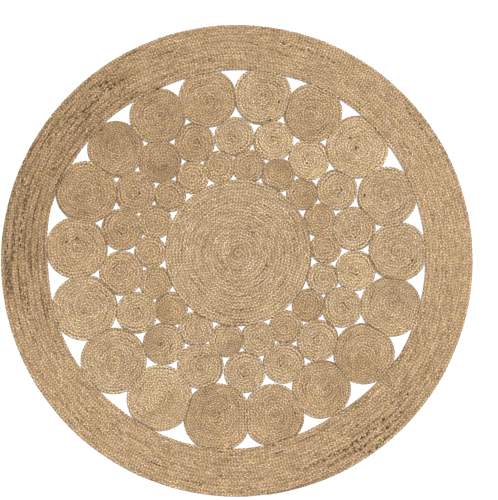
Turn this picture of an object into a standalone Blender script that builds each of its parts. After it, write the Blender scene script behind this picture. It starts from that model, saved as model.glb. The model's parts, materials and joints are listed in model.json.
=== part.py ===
"""A round rug of plaited jute, five feet across.

It is made of one narrow three-strand braid. Fourteen rows of it form the border. Inside the border lie three rings
of coils and a disc, each a braid wound on itself and sewn to its neighbours where they press together. Star-shaped
gaps stay open between the coils. The rows lie in pairs, and the surface is a raised ring for each pair.

The units are metres and +Z is up. The rug lies on Z = 0, and its outer edge is centred on the origin.
"""

import math
from collections import namedtuple

import bmesh
import bpy
from mathutils import Vector

MM = 0.001

# Driving dimensions of the rug and its braid.
RUG_ACROSS = 1524 * MM
BRAID_WIDTH = 10.5 * MM
BRAID_THICK = 9 * MM
CREST_HEIGHT = BRAID_THICK
GROOVE_HEIGHT = BRAID_THICK - 2.2 * MM  # the surface dips this far between two pairs of rows
EDGE_HEIGHT = 5.5 * MM  # top of the upright side of an outermost row
SEAM = 0.3 * MM  # between two pieces that are sewn together

# The border's inner edge, measured from the middle of the rug.
BORDER_ROWS = 14
BORDER_SIDES = 64
INNER_EDGE_REACH = 613 * MM
INNER_EDGE_SHIFT = Vector((-2 * MM, 6 * MM))  # it sits a little off the outer edge's centre
Bulge = namedtuple("Bulge", "toward_deg spread_deg outward_mm")
BULGES = (
    Bulge(50, 34, 4),
    Bulge(112, 26, -8),
    Bulge(163, 16, 9),
    Bulge(185, 12, -5),
    Bulge(215, 25, 3),
    Bulge(251, 30, 5),
    Bulge(302, 34, -15),
)

# The disc in the middle.
DISC_CENTRE = Vector((5 * MM, 26 * MM))
DISC_REACH = 237 * MM
DISC_SIDES = 42

# The coils, as they were wound and before they are pressed together. Each ring starts near the top of the rug
# and goes round clockwise: the middle of each coil from the middle of the rug, its width, and its tone.
Coil = namedtuple("Coil", "x_mm y_mm across_mm tone")
LARGE_COILS = (
    Coil(-94, 526, 188, "warm"),
    Coil(84, 534, 188, "even"),
    Coil(246, 478, 190, "warm"),
    Coil(390, 368, 202, "pale"),
    Coil(486, 208, 192, "even"),
    Coil(522, 30, 192, "even"),
    Coil(498, -148, 196, "even"),
    Coil(412, -300, 198, "warm"),
    Coil(274, -416, 190, "warm"),
    Coil(118, -500, 202, "warm"),
    Coil(-62, -508, 222, "warm"),
    Coil(-250, -444, 214, "pale"),
    Coil(-398, -324, 214, "even"),
    Coil(-492, -152, 212, "even"),
    Coil(-518, 42, 200, "warm"),
    Coil(-486, 222, 202, "brown"),
    Coil(-392, 360, 184, "brown"),
    Coil(-256, 468, 182, "brown"),
)
MEDIUM_COILS = (
    Coil(-136, 382, 130, "brown"),
    Coil(-8, 402, 128, "even"),
    Coil(118, 388, 130, "pale"),
    Coil(234, 328, 134, "pale"),
    Coil(324, 230, 132, "even"),
    Coil(378, 104, 142, "even"),
    Coil(384, -32, 132, "pale"),
    Coil(340, -150, 132, "even"),
    Coil(262, -258, 136, "even"),
    Coil(152, -330, 134, "even"),
    Coil(26, -360, 134, "even"),
    Coil(-118, -340, 150, "even"),
    Coil(-236, -268, 136, "even"),
    Coil(-324, -168, 134, "even"),
    Coil(-374, -40, 144, "warm"),
    Coil(-370, 102, 136, "brown"),
    Coil(-330, 222, 136, "brown"),
    Coil(-250, 322, 140, "brown"),
)
SMALL_COILS = (
    Coil(-144, 270, 106, "warm"),
    Coil(-56, 304, 104, "warm"),
    Coil(40, 306, 110, "warm"),
    Coil(134, 276, 110, "warm"),
    Coil(212, 216, 104, "warm"),
    Coil(268, 132, 108, "warm"),
    Coil(288, 42, 102, "warm"),
    Coil(278, -56, 104, "even"),
    Coil(232, -144, 108, "brown"),
    Coil(160, -214, 110, "warm"),
    Coil(68, -252, 114, "even"),
    Coil(-34, -256, 112, "even"),
    Coil(-132, -220, 114, "even"),
    Coil(-212, -154, 110, "warm"),
    Coil(-262, -70, 108, "warm"),
    Coil(-280, 28, 104, "warm"),
    Coil(-264, 126, 110, "warm"),
    Coil(-216, 210, 104, "brown"),
)
Ring = namedtuple("Ring", "name coils sides")
RINGS = (
    Ring("large_coil", LARGE_COILS, 18),
    Ring("medium_coil", MEDIUM_COILS, 16),
    Ring("small_coil", SMALL_COILS, 14),
)
LEAST_SIDE = 7 * MM  # a shorter side of a coil's outline is merged away
LEAST_TURN = 6 * MM  # the radius of the smallest ring in the middle of a coil
BORDER_WINDOW = math.radians(25)  # how much of the border's inner edge, each way, a coil can meet

# Raw jute, by tone.
TONES = {"pale": "C5A884", "even": "BFA380", "warm": "B99C78", "brown": "B09270", "border": "B89A76"}
JUTE_ROUGHNESS = 0.9
SHARP_ANGLE = math.radians(60)

SAME_PLACE = 0.01 * MM  # points closer than this are one point


def linear(hex_colour):
    """The linear colour of an sRGB hex value, with alpha."""
    channels = [int(hex_colour[i : i + 2], 16) / 255 for i in (0, 2, 4)]
    return [((c + 0.055) / 1.055) ** 2.4 if c > 0.04045 else c / 12.92 for c in channels] + [1.0]


def jute(name, tone):
    """A material for one piece of raw jute braid."""
    material = bpy.data.materials.new("jute_" + name)
    material.use_nodes = True
    shader = material.node_tree.nodes["Principled BSDF"]
    shader.inputs["Base Color"].default_value = linear(TONES[tone])
    shader.inputs["Roughness"].default_value = JUTE_ROUGHNESS
    shader.inputs["Metallic"].default_value = 0.0
    material.diffuse_color = linear(TONES[tone])
    return material


def add_piece(name, bm, tone, collection):
    """Turns a closed bmesh into the rug's piece of that name."""
    bmesh.ops.recalc_face_normals(bm, faces=bm.faces)
    mesh = bpy.data.meshes.new(name)
    bm.to_mesh(mesh)
    bm.free()
    mesh.shade_smooth()
    mesh.set_sharp_from_angle(angle=SHARP_ANGLE)
    mesh.materials.append(jute(name, tone))
    collection.objects.link(bpy.data.objects.new(name, mesh))


def height_at(rows):
    """The height of the surface that many rows in from an outer edge: a pair's crest and a groove take turns."""
    return CREST_HEIGHT if rows % 2 else GROOVE_HEIGHT


def wind(bm, outline, centre, reach):
    """Makes the outline's face a wound braid: a slab with a raised ring for each pair of rows."""
    top = bmesh.ops.extrude_face_region(bm, geom=[outline])["geom"]
    top = next(item for item in top if isinstance(item, bmesh.types.BMFace))
    for vertex in top.verts:
        vertex.co.z = EDGE_HEIGHT
    rows = int((reach - LEAST_TURN) / BRAID_WIDTH)
    size = reach
    for row in range(1, rows + 1):
        bmesh.ops.inset_individual(bm, faces=[top], thickness=0.0)
        smaller = reach - row * BRAID_WIDTH
        for vertex in top.verts:
            place = centre + (vertex.co.xy - centre) * smaller / size
            vertex.co = (place.x, place.y, height_at(row))
        size = smaller
    middle = bmesh.ops.poke(bm, faces=[top])["verts"][0]
    middle.co = (centre.x, centre.y, height_at(rows + 1))


def circle_face(bm, centre, radius, sides):
    """A flat round face in an empty bmesh."""
    made = bmesh.ops.create_circle(bm, cap_ends=True, radius=radius, segments=sides)["verts"]
    bmesh.ops.translate(bm, verts=made, vec=centre.to_3d())


def press_flat(bm, point, outward):
    """Cuts away what lies beyond a straight seam through the point."""
    bmesh.ops.bisect_plane(
        bm,
        geom=bm.verts[:] + bm.edges[:] + bm.faces[:],
        dist=SAME_PLACE,
        plane_co=point.to_3d(),
        plane_no=outward.to_3d(),
        clear_outer=True,
    )


def inner_edge(angle):
    """The border's inner edge in that direction from the middle of the rug."""
    direction = Vector((math.cos(angle), math.sin(angle)))
    reach = INNER_EDGE_REACH + direction.dot(INNER_EDGE_SHIFT)
    for bulge in BULGES:
        away = math.remainder(angle - math.radians(bulge.toward_deg), math.tau) / math.radians(bulge.spread_deg)
        if abs(away) < 1:
            reach += bulge.outward_mm * MM * math.cos(away * math.pi / 2) ** 2
    return direction * reach


def seam_with_neighbour(centre, radius, other_centre, other_radius):
    """(point, outward direction) of the straight seam where two round coils press together, or None."""
    apart = other_centre - centre
    if apart.length > radius + other_radius + SEAM:
        return None
    outward = apart.normalized()
    to_seam = (apart.length_squared + radius**2 - other_radius**2) / (2 * apart.length)
    return centre + outward * (to_seam - SEAM / 2), outward


def seam_with_disc(centre):
    """(point, outward direction) of the seam where a coil is flattened against the round disc."""
    outward = (DISC_CENTRE - centre).normalized()
    return DISC_CENTRE - outward * (DISC_REACH + SEAM), outward


def seams_with_border(centre):
    """The same, for each side of the border's inner edge that lies behind a coil."""
    toward = math.atan2(centre.y, centre.x)
    for side in range(BORDER_SIDES):
        angles = [math.tau * end / BORDER_SIDES for end in (side, side + 1)]
        if abs(math.remainder(sum(angles) / 2 - toward, math.tau)) > BORDER_WINDOW:
            continue
        start, end = map(inner_edge, angles)
        along = (end - start).normalized()
        outward = Vector((along.y, -along.x))
        yield start - outward * SEAM, outward


def place_of(coil):
    """(centre, radius) of a coil, in metres."""
    return Vector((coil.x_mm, coil.y_mm)) * MM, coil.across_mm * MM / 2


def add_coil(name, coil, sides, collection):
    """One coil, flattened by every neighbour that it meets."""
    centre, radius = place_of(coil)
    bm = bmesh.new()
    circle_face(bm, centre, radius, sides)
    others = [other for ring in RINGS for other in ring.coils if other is not coil]
    seams = [seam_with_neighbour(centre, radius, *place_of(other)) for other in others]
    seams.append(seam_with_disc(centre))
    seams += seams_with_border(centre)
    for seam in filter(None, seams):
        press_flat(bm, *seam)
    bmesh.ops.remove_doubles(bm, verts=bm.verts, dist=LEAST_SIDE)
    wind(bm, next(iter(bm.faces)), centre, radius)
    add_piece(name, bm, coil.tone, collection)


def add_disc(collection):
    """The disc in the middle, the longest braid wound on itself."""
    bm = bmesh.new()
    circle_face(bm, DISC_CENTRE, DISC_REACH, DISC_SIDES)
    wind(bm, next(iter(bm.faces)), DISC_CENTRE, DISC_REACH)
    add_piece("centre_disc", bm, "even", collection)


def border_section():
    """(radius, height) round the border's cross-section, as if its inner edge were round."""
    outer = RUG_ACROSS / 2
    row_width = (outer - INNER_EDGE_REACH) / BORDER_ROWS
    section = [(outer, 0.0), (outer, EDGE_HEIGHT)]
    section += [(outer - row * row_width, height_at(row)) for row in range(1, BORDER_ROWS)]
    return section + [(INNER_EDGE_REACH, EDGE_HEIGHT), (INNER_EDGE_REACH, 0.0)]


def add_border(collection):
    """The rows round the rug: the section turned round the rug's middle, with its rows drawn in or out to
    the uneven inner edge."""
    bm = bmesh.new()
    ring = [bm.verts.new((radius, 0.0, height)) for radius, height in border_section()]
    for start, end in zip(ring, ring[1:] + ring[:1]):
        bm.edges.new((start, end))
    bmesh.ops.spin(
        bm,
        geom=bm.verts[:] + bm.edges[:],
        cent=(0, 0, 0),
        axis=(0, 0, 1),
        angle=math.tau,
        steps=BORDER_SIDES,
    )
    bmesh.ops.remove_doubles(bm, verts=bm.verts, dist=SAME_PLACE)
    outer = RUG_ACROSS / 2
    for vertex in bm.verts:
        angle = math.atan2(vertex.co.y, vertex.co.x)
        inward = (outer - vertex.co.xy.length) / (outer - INNER_EDGE_REACH)
        reach = outer - inward * (outer - inner_edge(angle).length)
        vertex.co.x = reach * math.cos(angle)
        vertex.co.y = reach * math.sin(angle)
    add_piece("border", bm, "border", collection)


def main():
    for old in list(bpy.data.objects):
        bpy.data.objects.remove(old)
    rug = bpy.data.collections.new("Round jute rug")
    bpy.context.scene.collection.children.link(rug)
    add_border(rug)
    add_disc(rug)
    for ring in RINGS:
        for number, coil in enumerate(ring.coils, 1):
            add_coil(f"{ring.name}_{number:02d}", coil, ring.sides, rug)


main()
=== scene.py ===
"""The looks of a round rug of plaited jute, 1524 mm across.

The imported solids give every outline. Inside each outline a three-strand braid is wound on itself, strand by
strand, from the outer edge inwards. The pieces are then laced to each other where they touch, slivers of bark
lie in the plait, and a floor, soft light and a camera straight above complete the picture. The units are
metres and +Z is up.
"""

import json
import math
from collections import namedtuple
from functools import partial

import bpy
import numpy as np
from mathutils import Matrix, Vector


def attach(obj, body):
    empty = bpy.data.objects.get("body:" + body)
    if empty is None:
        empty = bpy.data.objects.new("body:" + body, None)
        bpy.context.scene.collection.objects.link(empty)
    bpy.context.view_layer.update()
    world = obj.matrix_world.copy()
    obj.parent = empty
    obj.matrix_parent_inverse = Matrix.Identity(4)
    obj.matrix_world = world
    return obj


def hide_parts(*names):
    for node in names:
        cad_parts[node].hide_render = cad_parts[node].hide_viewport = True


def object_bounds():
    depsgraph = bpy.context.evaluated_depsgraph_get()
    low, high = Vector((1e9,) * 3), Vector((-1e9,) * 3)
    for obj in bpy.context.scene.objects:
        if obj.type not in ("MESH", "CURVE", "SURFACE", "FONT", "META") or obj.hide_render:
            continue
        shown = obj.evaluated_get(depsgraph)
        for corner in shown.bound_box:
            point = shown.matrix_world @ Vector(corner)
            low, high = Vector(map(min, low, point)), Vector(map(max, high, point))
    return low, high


bl_info = {
    "name": "Round jute rug",
    "version": (1, 0, 0),
    "blender": (4, 5, 0),
    "location": "3D View > Sidebar > Jute rug",
    "description": "Winds and laces the braids of a round jute rug inside the outlines of its solids",
    "category": "Object",
}

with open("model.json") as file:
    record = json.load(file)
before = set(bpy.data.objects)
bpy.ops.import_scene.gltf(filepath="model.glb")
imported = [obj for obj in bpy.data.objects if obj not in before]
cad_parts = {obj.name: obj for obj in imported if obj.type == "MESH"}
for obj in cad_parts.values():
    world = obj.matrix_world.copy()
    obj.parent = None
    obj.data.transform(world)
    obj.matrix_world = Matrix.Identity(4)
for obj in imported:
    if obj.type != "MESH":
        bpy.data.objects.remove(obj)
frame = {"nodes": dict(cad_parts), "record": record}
CAD_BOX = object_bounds()

MM = 0.001
SLOTS = {part["node"]: part["material_slot"] for part in frame["record"]["subparts"]}
RINGS = ("large_coil", "medium_coil", "small_coil")
MIDDLE_HEIGHT = (CAD_BOX[1].z - CAD_BOX[0].z) / 2  # of the braids
UNDERSIDE = 0.01 * MM  # a solid's points lower than this are on its underside

# The photograph: its size, and where the rug lies in it.
PHOTO_WIDE_PX, PHOTO_HIGH_PX = 498, 500
RUG_ACROSS_PX = 470.5
RUG_MIDDLE_PX = (236.9, 260.7)
PX_SIZE = (CAD_BOX[1].x - CAD_BOX[0].x) / RUG_ACROSS_PX

# How an outline is read.
DIRECTIONS = 1440  # from its middle
TOWARDS = np.linspace(-math.pi, math.pi, DIRECTIONS, endpoint=False)
INNER_EDGE = 0.9  # points of the border's inner edge are nearer to the middle than this share of its radius
COIL_SOFTNESS = math.radians(5)  # its corners are rounded over about this angle
BORDER_SOFTNESS = math.radians(2.5)
TOUCHING = 2 * MM  # pieces nearer than this press together
FREE = 10 * MM  # beyond this nothing presses them
FULLER = 1.8 * MM  # a coil bulges this far out of its outline where nothing presses it
PRESSED = 0.6 * MM  # and this far where it presses into another
SET_BACK = 0.2 * MM  # the border's loops start this far outside its inner edge
OUTERMOST = 0.9 * MM  # its outermost loops stand this far out of the solid, as there are dips between them

# How the braids are wound.
COIL_CHANGE = 0.42  # the share of a turn over which a coil's braid moves in by one row
BORDER_ROWS = 14
BORDER_START = math.radians(269)  # where the border's braid begins, at the rug's outer edge
BORDER_CHANGE = 34 / 360  # of a turn: it moves in by one row over this, and its end thins out over as much
BORDER_JOIN = 6.3  # turns after which the border's second length of braid carries on
TIP_CUT = 0.25  # of a change: an end that thins out to nothing is cut off this far from its tip
PAIRED = 0.06  # of a row: the border's rows are drawn together in pairs by this
LEAST_CURL, MOST_CURL = 4 * MM, 9 * MM  # radius of the curl in the middle of a coil
LAST_TURN, TUCK = 0.8, 0.4  # of a turn: the first makes the curl, and over the other its end is tucked in
CURL_SPARE = 0.3  # of a row: the braid in the curl is this much wider than the curl's radius
TIP_WIDTH = 0.5  # of the braid's width, at its tucked end
DRIFTS_A_METRE = 9.0  # the bends in which the rows wander
SEED = 5  # for where the coils' outer ends lie
POINTS_A_TURN = {"coil": 120, "border": 540}
STRANDS = 3
BORDER_STEPS = 5.5  # points along a strand in one repeat, fewer than in the tighter coils
STRAND_SIDES, THREAD_SIDES = 5, 4  # of their cross-sections
SLIP_LENGTH = 90 * MM  # over about this the strands run ahead of their course or fall behind
STRAY_LENGTH = 22 * MM  # over about this a strand strays, and grows wider or slimmer
STRAND_APART, COIL_APART = 17.3, 3.1  # from one strand and from one coil to the next in that noise

# The cord that laces a braid's rows. It is numbered as one strand more.
CORD_STEPS = 3.0  # it has a point for every so many of a strand
CORD_HIGH, CORD_WIDE = 0.7, 0.55  # of a strand's height, and of a row
COIL_SEAM = 0.93  # how bright it is, against the strands; below 1 it is painted shade of the groove it lies in
PALE_SEAM, DARK_SEAM = 1.05, 0.85  # the same in the border, where every second seam, the wider one between pairs of rows, darkens with the jute and is painted shade in that seam
PALE_TONE, DARK_TONE = 1.05, 0.82  # the brightness of the jute at which those seams are pale or dark

# How the pieces are laced to each other where they press together.
STITCH = 4.6 * MM  # along the seam; the thread goes once round its line in four of these
THREAD_WIDE = 3.0 * MM
THREAD_REACH = 1.9 * MM  # how far each stitch goes to both sides
THREAD_DIP = 1.1 * MM  # and up and down
THREAD_HEIGHT = MIDDLE_HEIGHT + 1.5 * THREAD_DIP  # of its line, which lies nearer to the face, where it shows
THREAD_TONE = 0.85  # it lies in the shade between two loops
SEAM_SAMPLE = 10  # every so many directions give a point of a seam
SHORTEST_SEAM = 4  # points

# Where the border is paler or browner than its mean, as read from the photograph: the place, how far
# it reaches, and the change of brightness.
Patch = namedtuple("Patch", "x_mm y_mm reach_mm change")
PATCHES = [
    Patch(*patch)
    for patch in (
        (-560, 400, 290, -0.12), (-700, -20, 240, -0.13), (-340, 610, 220, -0.04), (480, 500, 380, 0.08),
        (690, 60, 230, 0.05), (-560, -400, 220, 0.03), (400, -560, 340, -0.05),
    )
]

# Where one strand of the border's braid is brown, also read from the photograph: its row from the outer edge,
# from where to where round the rug, and how brown it is there.
Streak = namedtuple("Streak", "row from_deg to_deg brown")
STREAKS = [
    Streak(*streak)
    for streak in (
        (5, 61, 80, 0.9), (3, 30, 43, 1.1), (1, 20, 41, 0.6), (10, 30, 37, 0.7), (9, 40, 63, 0.35),
        (11, 19, 30, 0.35), (5, 138, 150, 0.55), (5, 121, 128, 0.7), (7, 118, 139, 0.9), (9, 118, 125, 0.55),
        (10, 146, 156, 0.9), (11, 123, 143, 0.45), (10, 93, 110, 0.45), (2, 174, 190, 1.0),
        (3, 181, 190, 0.8), (4, 166, 181, 1.0), (6, 163, 178, 1.2), (7, 189, 197, 1.1), (3, 157, 162, 1.2),
        (1, 150, 172, 0.7), (1, 262, 265, 0.9), (4, 260, 263, 0.9), (4, 215, 230, 0.55),
        (11, 247, 263, 0.55), (10, 237, 246, 0.45), (4, 292, 319, 0.8), (6, 285, 313, 1.0),
        (2, 302, 320, 0.45), (13, 334, 349, 0.55), (4, 339, 343, 0.7), (5, 339, 349, 0.55),
        (6, 329, 335, 0.7), (10, 300, 306, 0.35),
    )
]
STREAK_ENDS = 1.5  # degrees over which it fades out

# The pattern of the jute.
MIDDLE_DARKER = 0.04  # a coil is handled most at its middle, so it is this much darker there
DISC_TONE = 0.97  # the brightness of the disc, against coils of its colour
PATTERN_APART = 5.7  # from one strand to the next in the noise
SLANT_ACROSS, SLANT_ALONG = 7 * MM, 9.5 * MM  # the slanting yarns repeat over these in the braid
SLANT_UNEVEN = 4.0  # radians: how far noise shifts them
LENGTH_LONG = 100 * MM  # how long the paler and darker lengths of a braid are
MOTTLES_A_METRE, HUES_A_METRE = 14.0, 30.0  # patches in the brightness and in the hue, 70 and 33 mm across
GRAINS_A_METRE = 600.0  # the bark's grain, which is 1.7 mm across
WARMER_IN_THE_DARK = (1.0, 1.15, 1.4)  # how strongly red, green and blue follow the brightness

# A strand is brown where noise along it, less a share of the jute's brightness, rises above a limit. The
# higher the limit, the rarer the brown lengths.
BROWN_IN_BORDER, BROWN_IN_COILS = -0.075, -0.045
BROWN_FADES = 0.14  # above the limit it comes in over this
TONE_SHARE = 0.7
BROWN_LONG = 160 * MM  # how long the brown lengths are
BROWN_APART = 40.0  # from one strand to the next in the noise
BROWN_DARKER, STREAK_DARKER = 0.4, 0.68  # how much they darken the jute
BROWN_BARK = 0.14  # how much more bark sticks to them
STREAKED_STRAND = 1.0  # the number of the border's strand that is brown in the streaks

# Slivers of brown bark that are stuck in the plait, along its rows: the middle and the length of each, as
# read from the photograph.
Sliver = namedtuple("Sliver", "x_mm y_mm long_mm")
SLIVERS = [
    Sliver(*sliver)
    for sliver in (
        (-441, 566, 12), (-420, 577, 12), (-407, 557, 10), (-395, 570, 9), (-449, 520, 9), (-496, 483, 10),
        (-521, 461, 9), (-322, 545, 9), (-257, 556, 10), (-369, 585, 9), (-439, 423, 10), (475, -513, 12),
        (486, -541, 12), (405, -571, 9), (421, -562, 9), (390, -584, 9), (374, -590, 10), (415, -599, 10),
        (385, -617, 10), (400, -612, 10), (431, -617, 10), (453, -604, 10), (552, -431, 9),
        (413, 212, 10), (567, 2, 10), (366, 397, 9), (385, 365, 10), (136, 514, 10), (107, 455, 9),
        (-551, 60, 10), (-518, 73, 10),
    )
]
SLIVER_SLIMMER = 1.7  # a sliver is this many times as long as it is wide
SLIVER_THICK = 3.2 * MM
SLIVER_HEIGHT = 8.4 * MM

# The stage.
FLOOR_ACROSS = 12.0
SUN_ANGLE = math.radians(25)  # how wide the soft sun looks
SUN_FROM = (math.cos(math.radians(50)), math.sin(math.radians(50)), 1.5)

# Kinds of node that are used again and again. A range takes a value, the value's low and high, and what it
# gives at both.
MATH, VECTOR_MATH, NOISE = "ShaderNodeMath", "ShaderNodeVectorMath", "ShaderNodeTexNoise"
RANGE, COMBINE, SEPARATE = "ShaderNodeMapRange", "ShaderNodeCombineXYZ", "ShaderNodeSeparateXYZ"
STORE, READ = "GeometryNodeStoreNamedAttribute", "GeometryNodeInputNamedAttribute"
PLACE, INDEX, MOVE = "GeometryNodeInputPosition", "GeometryNodeInputIndex", "GeometryNodeSetPosition"
RESAMPLE, SMOOTH = "GeometryNodeResampleCurve", "GeometryNodeSetShadeSmooth"


def linear(hex_colour):
    """The linear colour of an sRGB hex value."""
    channels = [int(hex_colour[i : i + 2], 16) / 255 for i in (0, 2, 4)]
    return [((c + 0.055) / 1.055) ** 2.4 if c > 0.04045 else c / 12.92 for c in channels]


def shown_number(name, description, default, **more):
    """A number that the panel shows."""
    return bpy.props.FloatProperty(name=name, description=description, default=default, **more)


def shown_colour(name, description, hex_colour):
    """A colour that the panel shows."""
    values = linear(hex_colour)
    return bpy.props.FloatVectorProperty(name=name, description=description, default=values, subtype="COLOR")


class BraidSettings(bpy.types.PropertyGroup):
    """The braid that the whole rug is wound from."""

    row: shown_number("Row", "Width of one braid", 10.6 * MM, unit="LENGTH")
    strand_width: shown_number("Strand width", "Width of one flattened strand", 5.8 * MM, unit="LENGTH")
    strand_height: shown_number("Strand height", "Thickness of one flattened strand", 4.1 * MM, unit="LENGTH")
    swing: shown_number("Swing", "How far a strand goes to each side", 2.75 * MM, unit="LENGTH")
    rise: shown_number("Rise", "How far a strand goes up and down", 2.0 * MM, unit="LENGTH")
    repeat: shown_number("Repeat", "Length in which each strand crosses and returns", 36 * MM, unit="LENGTH")
    steps: shown_number("Steps", "Points along a strand of a coil in one repeat", 6.0, min=6.0)
    uneven: shown_number("Uneven", "How much strands differ in width and place", 0.32, subtype="FACTOR")
    drift: shown_number("Drift", "How far a row wanders from its line", 1.2 * MM, unit="LENGTH")


class ColourSettings(bpy.types.PropertyGroup):
    """The colours of raw jute, by the record's material slot, and of what is found in it."""

    jute_pale: shown_colour("Pale", "The palest coils", "C8AE89")
    jute_even: shown_colour("Even", "The disc and most coils", "C0A683")
    jute_warm: shown_colour("Warm", "The golden coils", "BDA07C")
    jute_brown: shown_colour("Brown", "The brownest coils", "B69975")
    jute_border: shown_colour("Border", "The rows round the rug", "B89B77")
    bark: shown_colour("Bark", "Bark left in the fibre", "3F270F")
    straw: shown_colour("Straw", "The palest fibres", "DCC6A6")


class StageSettings(bpy.types.PropertyGroup):
    """The floor, the light and the camera."""

    floor: shown_colour("Floor", "Colour of the floor", "FAFAFA")
    sky: shown_number("Sky", "Strength of the light from all round", 0.85)
    sun: shown_number("Sun", "Strength of the soft light from the upper right", 2.2)
    lens: shown_number("Lens", "Focal length of the camera, in millimetres", 120.0)


class RugSettings(bpy.types.PropertyGroup):
    """All that the panel shows."""

    braid: bpy.props.PointerProperty(type=BraidSettings)
    colours: bpy.props.PointerProperty(type=ColourSettings)
    stage: bpy.props.PointerProperty(type=StageSettings)


def add_node(tree, kind, inputs=(), output=0, **settings):
    """Adds a node with its settings and with its inputs filled or linked, and gives one of its outputs."""
    node = tree.nodes.new(kind)
    for name, value in settings.items():
        setattr(node, name, value)
    for place, value in inputs.items() if isinstance(inputs, dict) else enumerate(inputs):
        if isinstance(value, bpy.types.NodeSocket):
            tree.links.new(value, node.inputs[place])
        else:
            node.inputs[place].default_value = value
    return node.outputs[output]


def length_of(places):
    """The length of the line through the places."""
    return float(np.linalg.norm(np.diff(places, axis=0), axis=1).sum())


def smoothly(share):
    """Goes from 0 to 1 with the share, slowly at both ends."""
    share = np.clip(share, 0.0, 1.0)
    return share * share * (3.0 - 2.0 * share)


# Outlines of the solids


Outline = namedtuple("Outline", "middle reach")


def underside(name):
    """The points of a solid's flat underside, as (x, y)."""
    places = [v.co for v in frame["nodes"][name].data.vertices if v.co.z < UNDERSIDE]
    return np.array(sorted({tuple(round(c, 6) for c in place[:2]) for place in places}))


def middle_of(name):
    """The middle of a coil's turns, where the solid's innermost faces meet."""
    mesh = frame["nodes"][name].data
    places = np.array([v.co[:2] for v in mesh.vertices if v.co.z > UNDERSIDE])
    return places[np.argmin(np.linalg.norm(places - underside(name).mean(axis=0), axis=1))]


def reach_round(points, middle):
    """How far the outline through the points is from the middle, in each direction."""
    away = points - middle
    angles = np.arctan2(away[:, 1], away[:, 0])
    order = np.argsort(angles)
    side = np.searchsorted(angles[order], TOWARDS, side="right") - 1
    start = away[order][side]
    along = np.roll(away[order], -1, axis=0)[side] - start
    return (start[:, 0] * along[:, 1] - start[:, 1] * along[:, 0]) / (
        np.cos(TOWARDS) * along[:, 1] - np.sin(TOWARDS) * along[:, 0]
    )


def read_outlines():
    """The outline of every solid: the disc's and the coils' own, and the border's inner edge."""
    outlines = {}
    for name in frame["nodes"]:
        points, middle = underside(name), np.zeros(2)
        if name == "border":
            from_middle = np.linalg.norm(points, axis=1)
            points = points[from_middle < INNER_EDGE * from_middle.max()]
        else:
            middle = middle_of(name)
        outlines[name] = Outline(middle, reach_round(points, middle))
    return outlines


def edge_of(outline):
    """The points of an outline, one in each direction from its middle."""
    return outline.middle + outline.reach[:, None] * np.stack([np.cos(TOWARDS), np.sin(TOWARDS)], axis=1)


def neighbours_round(name, outlines):
    """In each direction of a piece's outline: how near the nearest other piece is, its point and its name."""
    mine = outlines[name]
    others = {other: edge_of(outline) for other, outline in outlines.items() if other != name}
    points = np.concatenate(list(others.values()))
    owners = np.repeat(list(others), DIRECTIONS)
    near = np.linalg.norm(points - mine.middle, axis=1) < mine.reach.max() + FREE
    points, owners = points[near], owners[near]
    apart = np.linalg.norm(edge_of(mine)[:, None] - points[None], axis=2)
    nearest = apart.argmin(axis=1)
    return apart.min(axis=1), points[nearest], owners[nearest]


def softened(reach, softness):
    """The same reach with its corners rounded over about that angle."""
    waves = np.fft.rfft(reach)
    waves *= np.exp(-((np.arange(len(waves)) * softness) ** 2) / 2)
    return np.fft.irfft(waves, DIRECTIONS)


def reach_at(reach, angles):
    """The outline's reach in any direction."""
    return np.interp(angles, TOWARDS, reach, period=math.tau)


# The line that a braid is wound along


Knot = namedtuple("Knot", "turn rows width")
Line = namedtuple("Line", "places width tone seam brown")


def between_knots(turns, knots):
    """(rows in from the edge, share of full width) at each turn, gliding from knot to knot."""
    turn, rows, width = np.array(knots).T
    before = np.clip(np.searchsorted(turn, turns, side="right") - 1, 0, len(knots) - 2)
    share = smoothly((turns - turn[before]) / (turn[before + 1] - turn[before]))
    return (values[before] + (values[before + 1] - values[before]) * share for values in (rows, width))


def row_knots(rows, change):
    """Knots of a braid that starts from nothing at the edge and moves in by one row after each turn."""
    knots = [Knot(0.0, 0.0, 0.0)]
    for row in range(rows):
        knots += [Knot(row + change, row + 0.5, 1.0), Knot(row + 1.0, row + 0.5, 1.0)]
    return knots


def round_middle(middle, angles, away):
    """The places that lie so far away from the middle at those angles, level with it."""
    return np.stack(
        [middle[0] + away * np.cos(angles), middle[1] + away * np.sin(angles), np.zeros(len(angles))], axis=1
    )


def patch_tone(places):
    """How bright the jute is at each place, because the border isn't even."""
    tone = np.ones(len(places))
    for patch in PATCHES:
        away = np.linalg.norm(places[:, :2] - np.array([patch.x_mm, patch.y_mm]) * MM, axis=1)
        tone += patch.change * np.exp(-((away / (patch.reach_mm * MM)) ** 2))
    return tone


def streaked(angles, in_rows):
    """How brown the border's brown strand is at those angles and that many rows in."""
    brown = np.zeros(len(angles))
    degrees = np.degrees(angles) % 360
    for streak in STREAKS:
        fading = smoothly((degrees - streak.from_deg) / STREAK_ENDS)
        fading *= smoothly((streak.to_deg - degrees) / STREAK_ENDS)
        brown = np.maximum(brown, np.where(np.ceil(in_rows) == streak.row, streak.brown * fading, 0.0))
    return brown


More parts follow.
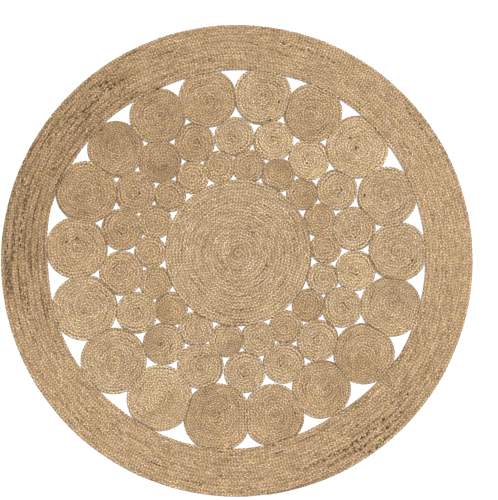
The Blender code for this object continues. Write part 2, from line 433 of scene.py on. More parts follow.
def coil_line(name, outlines, braid, start):
    """The line of a coil's braid, from its outer end at the start angle to the curl in its middle."""
    middle, reach = outlines[name]
    apart, _, _ = neighbours_round(name, outlines)
    fuller = PRESSED + (FULLER - PRESSED) * smoothly((apart - TOUCHING) / (FREE - TOUCHING))
    reach = softened(reach + fuller, COIL_SOFTNESS)
    radius = reach.max()
    rows = round((radius - (LEAST_CURL + MOST_CURL) / 2) / braid.row)
    curl = min(max(radius - rows * braid.row, LEAST_CURL), MOST_CURL)
    row = (radius - curl) / rows
    in_curl = rows + curl / 2 / row
    curl_width = min(1.0, curl / row + CURL_SPARE)
    knots = row_knots(rows, COIL_CHANGE)
    knots += [Knot(rows + COIL_CHANGE, in_curl, curl_width), Knot(rows + LAST_TURN, in_curl, curl_width)]
    knots.append(Knot(rows + LAST_TURN + TUCK, rows + curl / row, TIP_WIDTH))
    turns = np.arange(TIP_CUT * COIL_CHANGE, rows + LAST_TURN + TUCK, 1 / POINTS_A_TURN["coil"])
    in_rows, width = between_knots(turns, knots)
    angles = start + turns * math.tau
    edge = reach_at(reach, angles)
    away = edge * (1 - in_rows * row / radius)
    tone = 1 - MIDDLE_DARKER * (1 - np.clip(away / radius, 0, 1)) ** 2
    if name == "centre_disc":
        tone *= DISC_TONE
    width = width * row / braid.row * edge / radius
    seam, brown = np.full(len(turns), COIL_SEAM), np.zeros(len(turns))
    return Line(round_middle(middle, angles, away), width, tone, seam, brown)


def border_line(outlines, braid):
    """The line of the border's braid, and the turn at each of its points."""
    reach = softened(outlines["border"].reach, BORDER_SOFTNESS) + SET_BACK
    outer = CAD_BOX[1].x + OUTERMOST
    knots = row_knots(BORDER_ROWS, BORDER_CHANGE)
    knots.append(Knot(BORDER_ROWS + BORDER_CHANGE, BORDER_ROWS + 0.5, 1.0))
    knots.append(Knot(BORDER_ROWS + 2 * BORDER_CHANGE, BORDER_ROWS, 0.0))
    last = BORDER_ROWS / BORDER_CHANGE + (2 - TIP_CUT)
    turns = np.arange(TIP_CUT, last, 1 / POINTS_A_TURN["border"] / BORDER_CHANGE) * BORDER_CHANGE
    in_rows, width = between_knots(turns, knots)
    in_rows -= PAIRED * np.cos(np.pi * np.clip(in_rows - 0.5, 0, BORDER_ROWS - 1))
    angles = BORDER_START + turns * math.tau
    part = turns % 1.0
    rows = BORDER_ROWS + smoothly(part / BORDER_CHANGE) - smoothly((part - BORDER_CHANGE) / BORDER_CHANGE)
    row = (outer - reach_at(reach, angles)) / rows
    places = round_middle((0.0, 0.0), angles, outer - in_rows * row)
    tone = patch_tone(places)
    darkened = smoothly((PALE_TONE - tone) / (PALE_TONE - DARK_TONE)) * (1 - np.floor(turns) % 2)
    seam = PALE_SEAM + (DARK_SEAM - PALE_SEAM) * darkened
    return Line(places, width * row / braid.row, tone, seam, streaked(angles, in_rows)), turns


# The plait, the lacing and the slivers


def geometry_tree(name, source, numbers, material):
    """A Geometry Nodes tree with its named inputs, what adds a node to it, and what its inputs give."""
    tree = bpy.data.node_groups.new(name, "GeometryNodeTree")
    sockets = [(source, "Geometry"), *((size, "Float") for size in numbers), (material, "Material")]
    for label, kind in sockets:
        tree.interface.new_socket(label, in_out="INPUT", socket_type="NodeSocket" + kind)
    tree.interface.new_socket("Made", in_out="OUTPUT", socket_type="NodeSocketGeometry")
    return tree, partial(add_node, tree), tree.nodes.new("NodeGroupInput").outputs


def end_tree(tree, made, material):
    """Ends a Geometry Nodes tree: what it has made becomes real faces of that material."""
    made = add_node(tree, "GeometryNodeRealizeInstances", {"Geometry": made})
    made = add_node(tree, "GeometryNodeSetMaterial", {"Geometry": made, "Material": material})
    tree.links.new(made, tree.nodes.new("NodeGroupOutput").inputs[0])
    return tree


def drifting(tree, given):
    """The guide as a curve at the given height. It wanders a little, alike for neighbours, because the drift
    is read from the place."""
    node = partial(add_node, tree)
    wander = node(NOISE, {"Vector": node(PLACE), "Scale": DRIFTS_A_METRE, "Detail": 1.0}, output="Color")
    wander = node(VECTOR_MATH, [wander, (0.5, 0.5, 0.5)], operation="SUBTRACT")
    wander = node(VECTOR_MATH, [wander, (2.0, 2.0, 0.0)], operation="MULTIPLY")
    wander = node(VECTOR_MATH, {0: wander, "Scale": given["Drift"]}, operation="SCALE")
    wander = node(VECTOR_MATH, [wander, node(COMBINE, {"Z": given["Height"]})], operation="ADD")
    curve = node("GeometryNodeMeshToCurve", {"Mesh": given["Guide"]})
    return node(MOVE, {"Geometry": curve, "Offset": wander})


def sideways_of(tree):
    """The level direction square to a curve."""
    tangent = add_node(tree, "GeometryNodeInputTangent")
    side = add_node(tree, VECTOR_MATH, [tangent, (0, 0, 1)], operation="CROSS_PRODUCT")
    return add_node(tree, VECTOR_MATH, [side], operation="NORMALIZE")


def swept(tree, curve, section, smooth=True, **scale):
    """The section carried along the curve, as a mesh whose points know their place and number in it."""
    node = partial(add_node, tree)
    for name, kind, data in (("across", PLACE, "FLOAT_VECTOR"), ("corner", INDEX, "FLOAT")):
        section = node(STORE, {"Geometry": section, "Name": name, "Value": node(kind)}, data_type=data)
    sweep = {"Curve": curve, "Profile Curve": section, "Fill Caps": True, **scale}
    mesh = node("GeometryNodeCurveToMesh", sweep)
    return node(SMOOTH, {"Geometry": mesh, "Shade Smooth": smooth})


def plait_tree():
    """Geometry Nodes that turn a guide line into a flat three-strand plait, with the cord that laces it."""
    sizes = ("Height", "Repeat", "Step", "Swing", "Rise", "Strand Width", "Strand Height", "Row")
    others = ("Uneven", "Drift", "Start Along", "Laced Share", "Seed")
    tree, node, given = geometry_tree("three-strand plait", "Guide", sizes + others, "Jute")

    guide = drifting(tree, given)
    line = node(RESAMPLE, {"Curve": guide, "Length": given["Step"]}, mode="LENGTH")
    length = node("GeometryNodeSplineParameter", output="Length")
    length = node(MATH, [length, given["Start Along"]], operation="ADD")
    ring = node("GeometryNodeSplineParameter", output="Index")
    for name, value in (("along", length), ("ring", ring)):
        line = node(STORE, {"Geometry": line, "Name": name, "Value": value})
    along, width = (node(READ, {"Name": name}) for name in ("along", "width"))
    side = sideways_of(tree)
    line = node("GeometryNodeDuplicateElements", {"Geometry": line, "Amount": STRANDS}, domain="SPLINE")
    strand = line.node.outputs["Duplicate Index"]

    # Each strand swings from side to side a third of a repeat after the one before, and passes over it on the
    # way out.
    third = node(MATH, [strand, STRANDS], operation="DIVIDE")
    slip_at = node(MATH, [along, 1 / SLIP_LENGTH], operation="MULTIPLY")
    slip = node(NOISE, {"W": slip_at, "Scale": 1.0, "Detail": 1.0}, noise_dimensions="1D")
    phase = node(MATH, [along, given["Repeat"]], operation="DIVIDE")
    for shift in (third, slip):
        phase = node(MATH, [phase, shift], operation="ADD")
    phase = node(MATH, [phase, math.tau], operation="MULTIPLY")

    # No strand keeps quite to its course, and none has quite one width.
    own = node(MATH, [strand, STRAND_APART, given["Seed"]], operation="MULTIPLY_ADD")
    stray_at = {"Vector": node(COMBINE, {"X": along}), "W": own, "Scale": 1 / STRAY_LENGTH, "Detail": 1.0}
    stray = node(NOISE, stray_at, output="Color", noise_dimensions="4D")
    stray = node(VECTOR_MATH, [stray, (0.5, 0.5, 0.5)], operation="SUBTRACT")
    stray = node(VECTOR_MATH, {0: stray, "Scale": given["Uneven"]}, operation="SCALE")
    stray = node(SEPARATE, [stray]).node.outputs
    half_wide, half_high = (
        node(MATH, [given[name], 0.5], operation="MULTIPLY") for name in ("Strand Width", "Strand Height")
    )
    moves = []
    for swings, reach, stray_by, size in (
        (1.0, given["Swing"], stray["X"], given["Strand Width"]),
        (2.0, given["Rise"], stray["Y"], half_high),
    ):
        wave = node(MATH, [phase, swings], operation="MULTIPLY")
        wave = node(MATH, [wave], operation="SINE")
        wave = node(MATH, [wave, reach], operation="MULTIPLY")
        wave = node(MATH, [stray_by, size, wave], operation="MULTIPLY_ADD")
        moves.append(node(MATH, [wave, width], operation="MULTIPLY"))
    aside, lift = moves
    sideways = node(VECTOR_MATH, {0: side, "Scale": aside}, operation="SCALE")
    offset = node(VECTOR_MATH, [sideways, node(COMBINE, {"Z": lift})], operation="ADD")
    strands = node(MOVE, {"Geometry": line, "Offset": offset})
    for name, value in (("strand", strand), ("aside", aside)):
        strands = node(STORE, {"Geometry": strands, "Name": name, "Value": value})
    strands = node("GeometryNodeSetCurveNormal", {"Curve": strands}, mode="Z_UP")
    section = node("GeometryNodeCurvePrimitiveCircle", {"Resolution": STRAND_SIDES, "Radius": 1.0})
    stretch = node(COMBINE, [half_wide, half_high, 1.0])
    section = node("GeometryNodeTransform", {"Geometry": section, "Scale": stretch})
    fuller = node(MATH, [stray["Z"], 1.0], operation="ADD")
    fuller = node(MATH, [fuller, width], operation="MULTIPLY")
    strands = swept(tree, strands, section, Scale=fuller)

    # The lacing cord runs through the loops along the braid's inner side and fills the groove between rows.
    cord = node("GeometryNodeTrimCurve", {"Curve": guide, "End": given["Laced Share"]})
    step = node(MATH, [given["Step"], CORD_STEPS], operation="MULTIPLY")
    cord = node(RESAMPLE, {"Curve": cord, "Length": step}, mode="LENGTH")
    # The cord's tone is the jute's times its seam's, so the groove's shade is painted on it.
    tone = node(MATH, [node(READ, {"Name": name}) for name in ("tone", "seam")], operation="MULTIPLY")
    for name, value in (("ring", ring), ("along", length), ("tone", tone), ("strand", STRANDS)):
        cord = node(STORE, {"Geometry": cord, "Name": name, "Value": value})
    set_back = node(MATH, [width, given["Row"]], operation="MULTIPLY")
    set_back = node(MATH, [set_back, -0.5], operation="MULTIPLY")
    set_back = node(VECTOR_MATH, {0: side, "Scale": set_back}, operation="SCALE")
    cord = node(MOVE, {"Geometry": cord, "Offset": set_back})
    cord = node("GeometryNodeSetCurveNormal", {"Curve": cord}, mode="Z_UP")
    high = node(MATH, [given["Strand Height"], CORD_HIGH], operation="MULTIPLY")
    wide = node(MATH, [given["Row"], CORD_WIDE], operation="MULTIPLY")
    section = node("GeometryNodeCurvePrimitiveQuadrilateral", {"Width": wide, "Height": high})
    cord = swept(tree, cord, section, smooth=False, Scale=width)

    both = tree.nodes.new("GeometryNodeJoinGeometry")
    for made in (cord, strands):
        tree.links.new(made, both.inputs[0])
    return end_tree(tree, both.outputs[0], given["Jute"])


def lacing_tree():
    """Geometry Nodes that wind a thread round each guide line, from side to side and up and down."""
    sizes = ("Height", "Drift", "Stitch", "Reach", "Dip", "Thread")
    tree, node, given = geometry_tree("lacing", "Guide", sizes, "Jute")
    line = node(RESAMPLE, {"Curve": drifting(tree, given), "Length": given["Stitch"]}, mode="LENGTH")
    length = node("GeometryNodeSplineParameter", output="Length")
    number = node(INDEX)
    for name, value in (("along", length), ("ring", number), ("strand", 0.0), ("tone", THREAD_TONE)):
        line = node(STORE, {"Geometry": line, "Name": name, "Value": value})
    # The first and second points of every four lie on one side, and the second and third below.
    quarter = node(MATH, [number, math.tau / 4, math.tau / 8], operation="MULTIPLY_ADD")
    aside, lift = (
        node(MATH, [node(MATH, [quarter], operation=wave), given[name]], operation="MULTIPLY")
        for wave, name in (("SINE", "Reach"), ("COSINE", "Dip"))
    )
    aside = node(VECTOR_MATH, {0: sideways_of(tree), "Scale": aside}, operation="SCALE")
    offset = node(VECTOR_MATH, [aside, node(COMBINE, {"Z": lift})], operation="ADD")
    line = node(MOVE, {"Geometry": line, "Offset": offset})
    radius = node(MATH, [given["Thread"], 0.5], operation="MULTIPLY")
    section = node("GeometryNodeCurvePrimitiveCircle", {"Resolution": THREAD_SIDES, "Radius": radius})
    return end_tree(tree, swept(tree, line, section), given["Jute"])


def sliver_tree():
    """Geometry Nodes that lay a rounded sliver at each point, with the heading and length of that point."""
    tree, node, given = geometry_tree("slivers", "Points", ("Slimmer", "Thick"), "Bark")
    sliver = node("GeometryNodeMeshUVSphere", {"Segments": 8, "Rings": 6, "Radius": 0.5})
    sliver = node(SMOOTH, {"Geometry": sliver})
    long, heading = (node(READ, {"Name": name}) for name in ("long", "heading"))
    wide = node(MATH, [long, given["Slimmer"]], operation="DIVIDE")
    size = node(COMBINE, [long, wide, given["Thick"]])
    turn = node(COMBINE, {"Z": heading})
    laid = {"Points": given["Points"], "Instance": sliver, "Rotation": turn, "Scale": size}
    return end_tree(tree, node("GeometryNodeInstanceOnPoints", laid), given["Bark"])


def made_by(tree, name, guide, values):
    """The plain mesh object that a Geometry Nodes tree makes of the guide, with its inputs set."""
    piece = bpy.data.objects.new(name, guide)
    bpy.context.scene.collection.objects.link(piece)
    modifier = piece.modifiers.new(tree.name, "NODES")
    modifier.node_group = tree
    for item in tree.interface.items_tree:
        if item.in_out == "INPUT" and item.name in values:
            modifier[item.identifier] = values[item.name]
    finished = bpy.data.meshes.new_from_object(piece.evaluated_get(bpy.context.evaluated_depsgraph_get()))
    finished.name = name
    while finished.materials[0] is None:
        finished.materials.pop(index=0)
    piece.modifiers.remove(modifier)
    piece.data = finished
    bpy.data.meshes.remove(guide)
    return piece


def plait(name, line, braid, jute, **own):
    """Plaits three strands along the line and gives them as one plain mesh object."""
    guide = bpy.data.meshes.new(name)
    guide.from_pydata(line.places.tolist(), [(i, i + 1) for i in range(len(line.places) - 1)], [])
    for label in ("width", "tone", "seam", "brown"):
        values = getattr(line, label).astype(np.float32)
        guide.attributes.new(label, "FLOAT", "POINT").data.foreach_set("value", values)
    values = {"Height": MIDDLE_HEIGHT, "Step": braid.repeat / braid.steps, "Start Along": 0.0, "Seed": 0.0}
    values |= {"Laced Share": 1.0, "Jute": jute}
    for label in ("Repeat", "Swing", "Rise", "Strand Width", "Strand Height", "Row", "Uneven", "Drift"):
        values[label] = getattr(braid, label.lower().replace(" ", "_"))
    tree = bpy.data.node_groups.get("three-strand plait") or plait_tree()
    return made_by(tree, name, guide, {**values, **own})


def seam_lines(outlines):
    """The lines along which two pieces press together, each once, as its points."""
    lines = []
    for name in outlines:
        apart, points, owners = neighbours_round(name, outlines)
        seam = (edge_of(outlines[name]) + points) / 2
        for other in np.unique(owners):
            met = (owners == other) & (apart < TOUCHING)
            if other > name or not met.any():
                continue
            facing = math.atan2(np.sin(TOWARDS[met]).sum(), np.cos(TOWARDS[met]).sum())
            order = np.argsort((TOWARDS[met] - facing + math.pi) % math.tau)
            line = seam[met][order][::SEAM_SAMPLE]
            if len(line) >= SHORTEST_SEAM:
                lines.append(line)
    return lines


# The UV map, in which each strand's surface is unrolled in rows, so that baked fibres keep their course.
RINGS_OF_A_SQUARE = 24  # a strand with this many rings fills the square in one row
ROW_MARGIN = 0.04  # of a row, left free on both its sides


def read_all(items, label, kind):
    """One property of every item, as an array."""
    values = np.empty(len(items), dtype=kind)
    items.foreach_get(label, values)
    return values


def lay_out(mesh):
    """Lays every strand's surface in rows of a square UV map."""
    point = read_all(mesh.loops, "vertex_index", np.int32)
    first = read_all(mesh.polygons, "loop_start", np.int32)
    face = np.zeros(len(point), dtype=np.int32)
    face[first[1:]] = 1
    face = np.cumsum(face)
    ring, corner, strand = (
        read_all(mesh.attributes[label].data, "value", np.float32)[point]
        for label in ("ring", "corner", "strand")
    )
    low_ring = np.minimum.reduceat(ring, first)[face]
    high_corner = np.maximum.reduceat(corner, first)[face]
    low_corner = np.minimum.reduceat(corner, first)[face]
    numbers = np.unique(strand)
    sides, u, v = np.zeros((3, len(point)))
    for strand_number in numbers:
        sides[strand == strand_number] = corner[strand == strand_number].max() + 1
    wraps = (low_corner == 0) & (high_corner == sides - 1) & (corner == 0)
    corner = np.where(wraps, sides, corner)
    rows = max(1, round(math.sqrt(ring.max() / RINGS_OF_A_SQUARE)))
    for place, strand_number in enumerate(numbers):
        mine = strand == strand_number
        per_row = math.ceil((ring[mine].max() + 1) / rows)
        row = np.minimum(low_ring[mine] // per_row, rows - 1)
        u[mine] = (ring[mine] - row * per_row) / per_row
        round_strand = (1 - 2 * ROW_MARGIN) * corner[mine] / sides[mine]
        v[mine] = (place * rows + row + ROW_MARGIN + round_strand) / (len(numbers) * rows)
    layer = mesh.uv_layers.new(name="OFBake")
    layer.data.foreach_set("uv", np.stack([u, v], axis=1).astype(np.float32).ravel())


def finish_piece(piece, *nodes):
    """Gives a piece of braid or thread its UV map, and puts it in its nodes' place."""
    lay_out(piece.data)
    for label in ("ring", "corner", "width", "seam"):
        if label in piece.data.attributes:
            piece.data.attributes.remove(piece.data.attributes[label])
    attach(piece, "root")
    if nodes:
        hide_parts(*nodes)


# Materials


def raw_jute(slot, colours):
    """Raw jute, retted and combed bast fibre, plaited undyed. To the eye it is matt and tan, streaked along
    each strand, with odd pale fibres and brown bark. Shade is painted on it, darker down between the strands
    and at their edges."""
    name = "raw jute, " + slot.split("_")[1]
    if name in bpy.data.materials:
        return bpy.data.materials[name]
    material = bpy.data.materials.new(name)
    material.use_nodes = True
    tree = material.node_tree
    tree.nodes.clear()
    node = partial(add_node, tree)
    across = node("ShaderNodeAttribute", output="Vector", attribute_name="across")
    along, strand, tone, aside, streak = (
        node("ShaderNodeAttribute", output="Fac", attribute_name=label)
        for label in ("along", "strand", "tone", "aside", "brown")
    )
    in_strand = node(VECTOR_MATH, [across, node(COMBINE, {"Z": along})], operation="ADD")
    own = node(MATH, [strand, PATTERN_APART], operation="MULTIPLY")

    def streaks(wide, long, detail=2.0):
        """Noise drawn out along the strand: a patch is about that wide and that long, in metres."""
        fitted = node(VECTOR_MATH, [in_strand, (0.5 / wide, 0.5 / wide, 0.5 / long)], operation="MULTIPLY")
        pattern = {"Vector": fitted, "W": own, "Scale": 1.0, "Detail": detail}
        return node(NOISE, pattern, noise_dimensions="4D")

    # Single fibres are about 0.05 mm wide, too fine to show, so they are drawn 0.4 mm wide.
    fibres = streaks(0.4 * MM, 9 * MM)
    bundles = streaks(1.5 * MM, 7 * MM)
    tufts = streaks(1.6 * MM, 1.6 * MM, 1.0)
    flakes = streaks(1.8 * MM, 4 * MM, 1.0)

    # The strands are slack yarns that slant outwards from the braid's middle line to both sides, and so do
    # their fibres.
    section = node(SEPARATE, [across]).node.outputs
    off_crown = node(MATH, [section["X"], aside], operation="ADD")
    off_crown = node(MATH, [off_crown], operation="ABSOLUTE")
    slant = node(MATH, [off_crown, -math.tau / SLANT_ACROSS], operation="MULTIPLY")
    slant = node(MATH, [streaks(60 * MM, 4 * MM, 1.0), SLANT_UNEVEN, slant], operation="MULTIPLY_ADD")
    slant = node(MATH, [along, math.tau / SLANT_ALONG, slant], operation="MULTIPLY_ADD")
    slant = node(MATH, [slant], operation="SINE")

    length_at = node(MATH, [along, 1 / LENGTH_LONG], operation="MULTIPLY")
    lengths = node(NOISE, {"W": length_at, "Scale": 1.0, "Detail": 2.0}, noise_dimensions="1D")
    place = node("ShaderNodeTexCoord", output="Object")
    mottle = node(NOISE, {"Vector": place, "Scale": MOTTLES_A_METRE, "Detail": 3.0})
    depth = node(MATH, [node(SEPARATE, [place], output="Z"), MIDDLE_HEIGHT], operation="SUBTRACT")
    depth = node(MATH, [depth], operation="ABSOLUTE")
    off_middle = node(MATH, [section["X"]], operation="ABSOLUTE")
    brightness = tone
    # The first three ranges paint shade on the jute: by height, across each strand and across the braid. The
    # others are its own pattern.
    for value, low, high, at_low, at_high in (
        (depth, 0.8 * MM, 3.6 * MM, 0.55, 1.08),  # little light gets in between the strands
        (off_middle, 1.4 * MM, 2.9 * MM, 1.08, 0.62),  # painted shade on a strand's edges, which are tucked under the others
        (off_crown, 2.4 * MM, 5.2 * MM, 1.02, 0.92),  # a braid is crowned, so its edges lie in the shade
        (slant, -1.0, 1.0, 0.66, 1.34),
        (tufts, 0.25, 0.75, 0.85, 1.15),
        (fibres, 0.2, 0.8, 0.55, 1.45),
        (bundles, 0.2, 0.8, 0.52, 1.48),
        (lengths, 0.0, 1.0, 0.8, 1.2),
        (mottle, 0.0, 1.0, 0.88, 1.12),
    ):
        change = node(RANGE, [value, low, high, at_low, at_high])
        brightness = node(MATH, [brightness, change], operation="MULTIPLY")

    # Here and there a strand runs brown for a hand's breadth, and shows at each of its stitches.
    brown_at = node(MATH, [strand, BROWN_APART], operation="MULTIPLY")
    brown_at = node(MATH, [along, 1 / BROWN_LONG, brown_at], operation="MULTIPLY_ADD")
    brown = node(NOISE, {"W": brown_at, "Scale": 1.0, "Detail": 2.0}, noise_dimensions="1D")
    brown = node(MATH, [tone, -TONE_SHARE, brown], operation="MULTIPLY_ADD")
    limit = BROWN_IN_BORDER if slot == SLOTS["border"] else BROWN_IN_COILS
    brown = node(RANGE, [brown, limit, limit + BROWN_FADES])
    is_streaked = node(MATH, [strand, STREAKED_STRAND, 0.5], operation="COMPARE")
    streak = node(MATH, [streak, is_streaked], operation="MULTIPLY")
    for amount, darker in ((brown, BROWN_DARKER), (streak, STREAK_DARKER)):
        kept = node(MATH, [amount, -darker, 1.0], operation="MULTIPLY_ADD")
        brightness = node(MATH, [brightness, kept], operation="MULTIPLY")
    brown = node(MATH, [brown, streak], operation="MAXIMUM")

    # Dark places are warmer than pale ones, because light that goes deep into the fibre comes back golden.
    # Some lengths are more golden and some more grey.
    warmth = [node(MATH, [brightness, power], operation="POWER") for power in WARMER_IN_THE_DARK]
    hue_at = node(NOISE, {"Vector": place, "Scale": HUES_A_METRE, "Detail": 4.0})
    hue = [1.0]
    for low, high in ((1.02, 0.98), (0.9, 1.1)):
        hue.append(node(RANGE, [hue_at, 0.25, 0.75, low, high]))
    warmth = node(VECTOR_MATH, [node(COMBINE, warmth), node(COMBINE, hue)], operation="MULTIPLY")
    colour = node(VECTOR_MATH, [tuple(getattr(colours, slot)), warmth], operation="MULTIPLY")

    # The palest fibres and the bark cover it in places.
    bark_at = node(MATH, [brown, BROWN_BARK, flakes], operation="MULTIPLY_ADD")
    for noise, low, high, most, other in (
        (bundles, 0.6, 0.75, 0.3, colours.straw),
        (bark_at, 0.68, 0.76, 0.8, colours.bark),
    ):
        share = node(RANGE, [noise, low, high, 0.0, most])
        mixed = {"Factor": share, "A": colour, "B": (*other, 1.0)}
        colour = node("ShaderNodeMix", mixed, output="Result", data_type="RGBA")
    normal = {}
    for height, strength, deep in ((bundles, 0.8, 1.5 * MM), (fibres, 0.7, 0.4 * MM)):
        relief = {"Height": height, "Strength": strength, "Distance": deep, **normal}
        normal = {"Normal": node("ShaderNodeBump", relief, output="Normal")}
    surface = {"Base Color": colour, "Roughness": 0.88, "IOR": 1.5, "Specular IOR Level": 0.3, **normal}
    sheen = {"Sheen Weight": 0.08, "Sheen Roughness": 0.5}
    shader = node("ShaderNodeBsdfPrincipled", {**surface, **sheen})
    tree.links.new(shader, tree.nodes.new("ShaderNodeOutputMaterial").inputs["Surface"])
    return material


def dry_bark(colours):
    """Bark of the jute stem. To the eye it is matt, and dark brown with paler streaks."""
    material = bpy.data.materials.new("dry bark")
    material.use_nodes = True
    tree = material.node_tree
    tree.nodes.clear()
    node = partial(add_node, tree)
    place = node("ShaderNodeTexCoord", output="Object")
    grain = node(NOISE, {"Vector": place, "Scale": GRAINS_A_METRE, "Detail": 2.0})
    share = node(RANGE, [grain, 0.45, 0.75, 0.0, 0.2])
    mixed = {"Factor": share, "A": (*colours.bark, 1.0), "B": (*colours.jute_brown, 1.0)}
    colour = node("ShaderNodeMix", mixed, output="Result", data_type="RGBA")
    relief = {"Height": grain, "Strength": 0.6, "Distance": 0.3 * MM}
    normal = node("ShaderNodeBump", relief, output="Normal")
    surface = {"Base Color": colour, "Roughness": 0.8, "IOR": 1.5, "Specular IOR Level": 0.3}
    shader = node("ShaderNodeBsdfPrincipled", {**surface, "Normal": normal})
    tree.links.new(shader, tree.nodes.new("ShaderNodeOutputMaterial").inputs["Surface"])
    return material


# The operators


class RUG_OT_wind_border(bpy.types.Operator):
    """Wind the border's braid round the rug, in two lengths that carry on from each other"""

    bl_idname = "rug.wind_border"
    bl_label = "Wind the border"

    def execute(self, context):
        rug = context.scene.jute_rug
        line, turns = border_line(read_outlines(), rug.braid)
        join = int(np.searchsorted(turns, BORDER_JOIN))
        last_row = int(np.searchsorted(turns, turns[-1] - 1.0))
        outer = Line(*(values[: join + 1] for values in line))
        inner = Line(*(values[join:] for values in line))
        jute = raw_jute(SLOTS["border"], rug.colours)
        step = rug.braid.repeat / BORDER_STEPS
        finish_piece(plait("border_outer_rows", outer, rug.braid, jute, Step=step), "border")
        # The cord stops before the last turn, because the row there has no other row on its inner side.
        cord = length_of(line.places[join:last_row]) / length_of(inner.places)
        own = {"Step": step, "Start Along": length_of(outer.places), "Laced Share": cord}
        finish_piece(plait("border_inner_rows", inner, rug.braid, jute, **own), "border")
        return {"FINISHED"}


class RUG_OT_wind_coils(bpy.types.Operator):
    """Wind the disc and each coil from its outline to its middle"""

    bl_idname = "rug.wind_coils"
    bl_label = "Wind the disc and the coils"

    def execute(self, context):
        rug = context.scene.jute_rug
        outlines = read_outlines()
        names = ["centre_disc"] + [name for name in sorted(frame["nodes"]) if name.startswith(RINGS)]
        draw = np.random.default_rng(SEED)
        for number, name in enumerate(names, 1):
            line = coil_line(name, outlines, rug.braid, start=draw.uniform(0, math.tau))
            jute = raw_jute(SLOTS[name], rug.colours)
            finish_piece(plait(name + "_braid", line, rug.braid, jute, Seed=number * COIL_APART), name)
        return {"FINISHED"}


class RUG_OT_lace_pieces(bpy.types.Operator):
    """Lace the pieces to each other wherever two press together"""

    bl_idname = "rug.lace_pieces"
    bl_label = "Lace the pieces together"

    def execute(self, context):
        rug = context.scene.jute_rug
        places, edges = [], []
        for line in seam_lines(read_outlines()):
            edges += [(len(places) + i, len(places) + i + 1) for i in range(len(line) - 1)]
            places += [(x, y, 0.0) for x, y in line]
        guide = bpy.data.meshes.new("lacing")
        guide.from_pydata(places, edges, [])
        values = {"Height": THREAD_HEIGHT, "Stitch": STITCH, "Reach": THREAD_REACH, "Dip": THREAD_DIP}
        values |= {"Thread": THREAD_WIDE, "Drift": rug.braid.drift}
        values["Jute"] = raw_jute(SLOTS["border"], rug.colours)
        finish_piece(made_by(lacing_tree(), "lacing", guide, values))
        return {"FINISHED"}


class RUG_OT_lay_slivers(bpy.types.Operator):
    """Lay the slivers of bark that are stuck in the plait"""

    bl_idname = "rug.lay_slivers"
    bl_label = "Lay the slivers of bark"

    def execute(self, context):
        coils = [outline for name, outline in read_outlines().items() if name != "border"]
        middles = np.array([coil.middle for coil in coils])
        reaches = np.array([coil.reach.max() for coil in coils])
        headings = []
        for sliver in SLIVERS:
            place = np.array([sliver.x_mm, sliver.y_mm]) * MM
            away = place - middles
            beyond = np.linalg.norm(away, axis=1) - reaches
            # A row runs round the middle of its coil, or in the border round the rug's.
            across = away[beyond.argmin()] if beyond.min() < 0 else place
            headings.append(math.atan2(across[0], -across[1]))
        points = bpy.data.meshes.new("bark_slivers")
        points.from_pydata([(s.x_mm * MM, s.y_mm * MM, SLIVER_HEIGHT) for s in SLIVERS], [], [])
        lengths = [sliver.long_mm * MM for sliver in SLIVERS]
        for label, values in (("long", lengths), ("heading", headings)):
            points.attributes.new(label, "FLOAT", "POINT").data.foreach_set("value", values)
        bark = dry_bark(context.scene.jute_rug.colours)
        values = {"Slimmer": SLIVER_SLIMMER, "Thick": SLIVER_THICK, "Bark": bark}
        piece = made_by(sliver_tree(), "bark_slivers", points, values)
        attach(piece, "root")
        return {"FINISHED"}


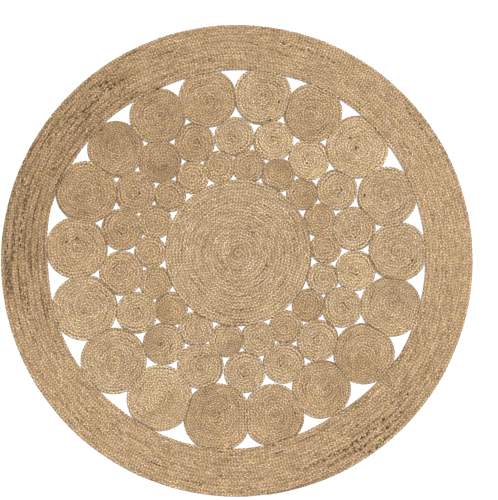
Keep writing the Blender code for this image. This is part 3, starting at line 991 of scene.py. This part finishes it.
class RUG_OT_set_stage(bpy.types.Operator):
    """Lay a pale floor, set the soft light, and put the camera straight above"""

    bl_idname = "rug.set_stage"
    bl_label = "Set the stage"

    def execute(self, context):
        stage = context.scene.jute_rug.stage
        material = bpy.data.materials.new("matt white board")
        material.use_nodes = True
        shader = material.node_tree.nodes["Principled BSDF"]
        shader.inputs["Base Color"].default_value = (*stage.floor, 1.0)
        shader.inputs["Roughness"].default_value = 0.9
        bpy.ops.mesh.primitive_plane_add(size=FLOOR_ACROSS)
        floor = context.active_object
        floor.name = "floor"
        floor.data.materials.append(material)

        world = bpy.data.worlds.new("soft white room")
        world.use_nodes = True
        background = world.node_tree.nodes["Background"]
        background.inputs["Color"].default_value = (1.0, 1.0, 1.0, 1.0)
        background.inputs["Strength"].default_value = stage.sky
        context.scene.world = world

        sun = bpy.data.lights.new("soft sun", "SUN")
        sun.energy = stage.sun
        sun.angle = SUN_ANGLE
        lamp = bpy.data.objects.new("soft sun", sun)
        lamp.rotation_euler = Vector(SUN_FROM).to_track_quat("Z", "Y").to_euler()
        context.scene.collection.objects.link(lamp)

        lens = bpy.data.cameras.new("camera")
        lens.lens = stage.lens
        camera = bpy.data.objects.new("camera", lens)
        high = max(PHOTO_WIDE_PX, PHOTO_HIGH_PX) * PX_SIZE
        camera.location = (
            (PHOTO_WIDE_PX / 2 - RUG_MIDDLE_PX[0]) * PX_SIZE,
            (RUG_MIDDLE_PX[1] - PHOTO_HIGH_PX / 2) * PX_SIZE,
            high * stage.lens / lens.sensor_width,
        )
        context.scene.collection.objects.link(camera)
        context.scene.camera = camera
        context.scene.view_settings.view_transform = "Standard"
        return {"FINISHED"}


class RUG_PT_sidebar(bpy.types.Panel):
    """The rug's sizes and colours, and a button for each step"""

    bl_label = "Jute rug"
    bl_idname = "RUG_PT_sidebar"
    bl_space_type = "VIEW_3D"
    bl_region_type = "UI"
    bl_category = "Jute rug"

    def draw(self, context):
        rug = context.scene.jute_rug
        for settings in (rug.braid, rug.colours, rug.stage):
            box = self.layout.box()
            for name in settings.bl_rna.properties.keys():
                if name not in ("rna_type", "name"):
                    box.prop(settings, name)
        for operator in CLASSES:
            if issubclass(operator, bpy.types.Operator):
                self.layout.operator(operator.bl_idname)


CLASSES = (
    BraidSettings,
    ColourSettings,
    StageSettings,
    RugSettings,
    RUG_OT_wind_border,
    RUG_OT_wind_coils,
    RUG_OT_lace_pieces,
    RUG_OT_lay_slivers,
    RUG_OT_set_stage,
    RUG_PT_sidebar,
)


def register():
    for cls in CLASSES:
        bpy.utils.register_class(cls)
    bpy.types.Scene.jute_rug = bpy.props.PointerProperty(type=RugSettings)


def unregister():
    del bpy.types.Scene.jute_rug
    for cls in reversed(CLASSES):
        bpy.utils.unregister_class(cls)


def main():
    register()
    bpy.ops.rug.wind_border()
    bpy.ops.rug.wind_coils()
    bpy.ops.rug.lace_pieces()
    bpy.ops.rug.lay_slivers()
    bpy.ops.rug.set_stage()


if __name__ == "__main__":
    main()
